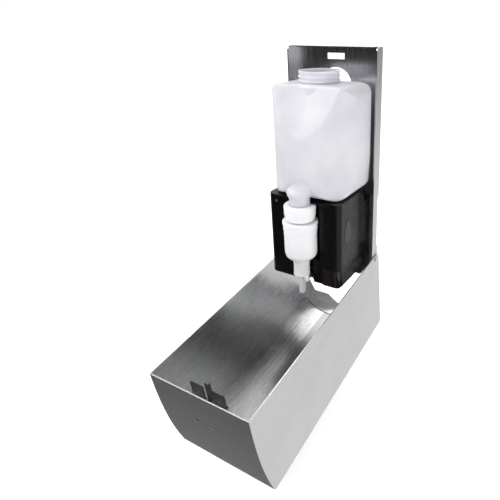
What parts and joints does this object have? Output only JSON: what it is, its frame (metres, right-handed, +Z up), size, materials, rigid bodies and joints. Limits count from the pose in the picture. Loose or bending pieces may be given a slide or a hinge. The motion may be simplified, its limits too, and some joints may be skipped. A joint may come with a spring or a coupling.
{
  "type": "wall mounted soap dispenser",
  "caption": "Touch-free wall soap dispenser with a flanged back plate, hinged sheet metal cover hanging open, refillable bottle, piston pump and battery drive housing.",
  "frame": {"origin": "centre of the pressed pad on the back of the plate, in the plane of the wall", "axes": "+Y into the wall, +Z up, +X to the right of a person who faces the dispenser"},
  "size_m": [0.1102, 0.2568, 0.3609],
  "materials": {
    "stainless": "fine vertical brushing, satin",
    "bright_steel": "bright rolled steel",
    "dark_steel": "dark zinc coating",
    "stiffener_grey": "matt rolled steel",
    "housing_black": "moulded black plastic, semi gloss",
    "inner_plastic": "moulded black plastic, matt",
    "emblem_grey": "printed dark grey inlay",
    "sensor_window": "dark tinted window, glossy",
    "light_guide": "clear light guide",
    "circuit_board": "solder mask",
    "drive_plastic": "natural acetal",
    "brass": "machined",
    "motor_can": "plated can",
    "cell_jacket": "plain printed sleeve",
    "contact_metal": "plated spring strip",
    "bottle_milky": "translucent natural polyethylene",
    "pump_white": "moulded white plastic, satin",
    "seal_rubber": "soft seal",
    "spring_wire": "drawn wire"
  },
  "bodies": {
    "dispenser": {"back_plate": "stainless", "hinge_pin_left": "bright_steel", "hinge_pin_right": "bright_steel", "housing_front": "housing_black", "housing_rear": "housing_black", "housing_screw_1": "bright_steel", "housing_screw_2": "bright_steel", "housing_screw_3": "bright_steel", "housing_screw_4": "bright_steel", "sensor_lens": "sensor_window", "status_led": "light_guide", "droplet_emblem": "emblem_grey", "sensor_pcb": "circuit_board", "ir_emitter": "light_guide", "ir_receiver": "sensor_window", "idler_axle": "bright_steel", "gear_plate": "inner_plastic", "gear_motor": "motor_can", "main_pcb": "circuit_board", "bottle": "bottle_milky", "pump_collar": "pump_white", "pump_gasket": "seal_rubber", "pump_body": "pump_white", "inlet_ball": "bright_steel", "pump_spring": "spring_wire"},
    "cover_door": {"cover": "stainless", "bottom_guard": "bright_steel", "front_stiffener": "stiffener_grey", "latch_bracket": "dark_steel", "latch_pin": "bright_steel", "latch_spring": "spring_wire"},
    "latch": {"latch_lever": "dark_steel"},
    "pump_plunger": {"plunger": "pump_white", "piston_ring": "seal_rubber", "nozzle_tip": "pump_white"},
    "yoke": {"lift_yoke": "inner_plastic"},
    "idler": {"idler_gear": "drive_plastic"},
    "pinion": {"drive_pinion": "brass", "motor_shaft": "bright_steel"},
    "tray": {"battery_tray": "inner_plastic", "battery_1": "cell_jacket", "battery_2": "cell_jacket", "battery_3": "cell_jacket", "battery_4": "cell_jacket", "contact_top_left": "contact_metal", "contact_top_right": "contact_metal", "contact_floor_left": "contact_metal", "contact_floor_middle": "contact_metal", "contact_floor_right": "contact_metal"}
  },
  "joints": [
    {"name": "cover_hinge", "type": "hinge", "parent": "dispenser", "child": "cover_door", "pos_m": [0, -0.00794, -0.114], "axis": [-1, 0, 0], "range_deg": [0, 97]},
    {"name": "latch_pivot", "type": "hinge", "parent": "cover_door", "child": "latch", "pos_m": [0, -0.2284, -0.15982], "axis": [1, 0, 0], "range_deg": [0, 6], "stiffness_Nm_per_rad": 0.4, "springref_deg": -17.19},
    {"name": "plunger_stroke", "type": "slide", "parent": "dispenser", "child": "pump_plunger", "axis": [0, 0, 1], "range_m": [0, 0.008], "stiffness_N_per_m": 300, "springref_m": -0.015, "deforming": ["pump_spring"]},
    {"name": "yoke_lift", "type": "slide", "parent": "dispenser", "child": "yoke", "axis": [0, 0, 1], "range_m": [0, 0.008]},
    {"name": "idler_spin", "type": "hinge", "parent": "dispenser", "child": "idler", "pos_m": [0.012, -0.056, -0.092], "axis": [0, 1, 0], "range_deg": [0, 46]},
    {"name": "pinion_spin", "type": "hinge", "parent": "dispenser", "child": "pinion", "pos_m": [0.012, -0.056, -0.076], "axis": [0, 1, 0], "range_deg": [-76.6, 0]},
    {"name": "tray_pull", "type": "slide", "parent": "dispenser", "child": "tray", "axis": [0, 0, -1], "range_m": [0, 0.062]}
  ],
  "couplings": [
    {"joint": "yoke_lift", "follows": "plunger_stroke", "ratio": 1},
    {"joint": "idler_spin", "follows": "plunger_stroke", "rad_per_m": 100},
    {"joint": "pinion_spin", "follows": "plunger_stroke", "rad_per_m": -166.67}
  ]
}
